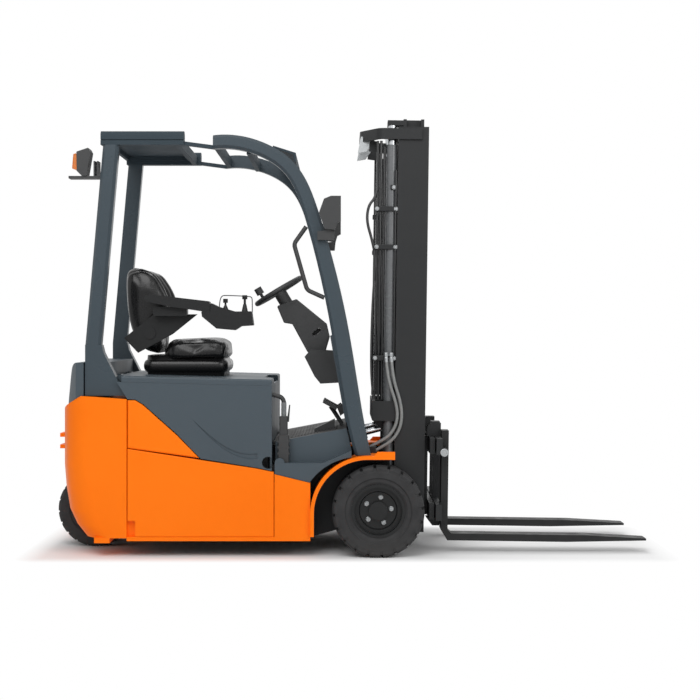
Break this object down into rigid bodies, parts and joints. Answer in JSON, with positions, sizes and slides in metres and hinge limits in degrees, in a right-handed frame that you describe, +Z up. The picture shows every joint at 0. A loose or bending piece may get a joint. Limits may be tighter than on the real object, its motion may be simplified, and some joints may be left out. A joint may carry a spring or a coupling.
{
  "type": "electric counterbalance forklift truck",
  "caption": "Compact three-wheel electric counterbalance forklift with a two-stage mast, side shift, overhead guard, hinged seat hood and steered twin rear wheels.",
  "frame": {"origin": "on the floor under the middle of the whole truck, forks included", "axes": "+X forward to the fork tips, +Y to the left, +Z up"},
  "size_m": [3.0039, 1.06, 2.1883],
  "materials": {
    "tyre": "moulded rubber",
    "wheel_paint": "satin black paint",
    "orange_paint": "satin orange paint",
    "slate_paint": "satin dark grey paint",
    "guard_paint": "satin grey paint",
    "black_paint": "satin black paint",
    "black_plastic": "grained black moulding",
    "amber_lens": "clear amber moulding",
    "seat_vinyl": "black seat vinyl over foam",
    "floor_rubber": "ribbed rubber mat",
    "bright_steel": "ground and oiled steel",
    "fork_steel": "black paint, worn on top",
    "battery_case": "coated steel case"
  },
  "bodies": {
    "chassis": {"main_frame": "orange_paint", "drive_axle": "black_paint", "counterweight": "orange_paint", "rear_cover": "slate_paint", "side_doors": "orange_paint", "corner_panels": "orange_paint", "hood_sides": "slate_paint", "battery": "battery_case", "hood_front_wall": "slate_paint", "floor_plate": "floor_rubber", "steps": "slate_paint", "fenders": "orange_paint", "guard_front_legs": "guard_paint", "guard_rear_legs": "guard_paint", "guard_roof": "guard_paint", "roof_bars": "guard_paint", "cowl": "slate_paint", "steering_column": "black_plastic", "pedals": "black_plastic", "grab_handle": "black_plastic", "mirrors": "black_plastic", "beacon": "black_plastic", "beacon_lens": "amber_lens", "battery_plug": "black_plastic"},
    "hood": {"hood_lid": "slate_paint", "seat_pan": "black_plastic", "seat_cushion": "seat_vinyl", "seat_back": "seat_vinyl", "armrest": "black_plastic", "console": "black_plastic"},
    "steer_unit": {"steer_unit": "black_paint"},
    "rear_wheels": {"rear_tyres": "tyre", "rear_rims": "wheel_paint"},
    "front_wheel_right": {"front_tyre_right": "tyre", "front_rim_right": "wheel_paint"},
    "front_wheel_left": {"front_tyre_left": "tyre", "front_rim_left": "wheel_paint"},
    "steering_wheel": {"steering_wheel": "black_plastic"},
    "mast_outer": {"mast_outer": "black_paint", "lift_barrels": "black_paint", "chain_rear": "bright_steel"},
    "mast_inner": {"mast_inner": "black_paint", "lift_rods": "bright_steel", "sheaves": "bright_steel", "chain_front": "bright_steel"},
    "carriage": {"carriage": "black_paint"},
    "side_shift": {"shift_frame": "black_paint", "forks": "fork_steel"},
    "tilt_barrels": {"tilt_barrels": "black_paint"},
    "tilt_rods": {"tilt_rods": "bright_steel"}
  },
  "joints": [
    {"name": "front_right_spin", "type": "hinge", "parent": "chassis", "child": "front_wheel_right", "pos_m": [0.15007, -0.4475, 0.2275], "axis": [0, 1, 0], "continuous": true},
    {"name": "front_left_spin", "type": "hinge", "parent": "chassis", "child": "front_wheel_left", "pos_m": [0.15007, 0.4475, 0.2275], "axis": [0, 1, 0], "continuous": true},
    {"name": "rear_steer", "type": "hinge", "parent": "chassis", "child": "steer_unit", "pos_m": [-1.29993, 0, 0.402], "axis": [0, 0, 1], "range_deg": [-90, 90]},
    {"name": "rear_spin", "type": "hinge", "parent": "steer_unit", "child": "rear_wheels", "pos_m": [-1.29993, 0, 0.195], "axis": [0, 1, 0], "continuous": true},
    {"name": "steering_turn", "type": "hinge", "parent": "chassis", "child": "steering_wheel", "pos_m": [-0.35993, 0, 1.324], "axis": [-0.515, 0, 0.8572], "range_deg": [-810, 810]},
    {"name": "hood_hinge", "type": "hinge", "parent": "chassis", "child": "hood", "pos_m": [-1.16193, 0, 0.88244], "axis": [0, -1, 0], "range_deg": [0, 40]},
    {"name": "mast_tilt", "type": "hinge", "parent": "chassis", "child": "mast_outer", "pos_m": [0.15007, 0, 0.2275], "axis": [0, 1, 0], "range_deg": [-8, 4]},
    {"name": "mast_lift", "type": "slide", "parent": "mast_outer", "child": "mast_inner", "axis": [0.014, 0, 0.9999], "range_m": [0, 1.5], "deforming": ["chain_rear"]},
    {"name": "carriage_lift", "type": "slide", "parent": "mast_inner", "child": "carriage", "axis": [0.014, 0, 0.9999], "range_m": [0, 1.5], "deforming": ["chain_front"]},
    {"name": "side_shift", "type": "slide", "parent": "carriage", "child": "side_shift", "axis": [0, 1, 0], "range_m": [-0.1, 0.1]},
    {"name": "tilt_barrel_pivot", "type": "hinge", "parent": "chassis", "child": "tilt_barrels", "pos_m": [-0.14993, 0, 0.53], "axis": [0, 1, 0], "range_deg": [-3.22, 1.62]},
    {"name": "tilt_rod_slide", "type": "slide", "parent": "tilt_barrels", "child": "tilt_rods", "axis": [0.9668, 0, 0.2556], "range_m": [-0.05224, 0.02622]}
  ],
  "couplings": [
    {"joint": "steering_turn", "follows": "rear_steer", "ratio": 9},
    {"joint": "carriage_lift", "follows": "mast_lift", "ratio": 1},
    {"joint": "tilt_barrel_pivot", "follows": "mast_tilt", "ratio": 0.39962},
    {"joint": "tilt_rod_slide", "follows": "mast_tilt", "m_per_rad": 0.37274}
  ]
}
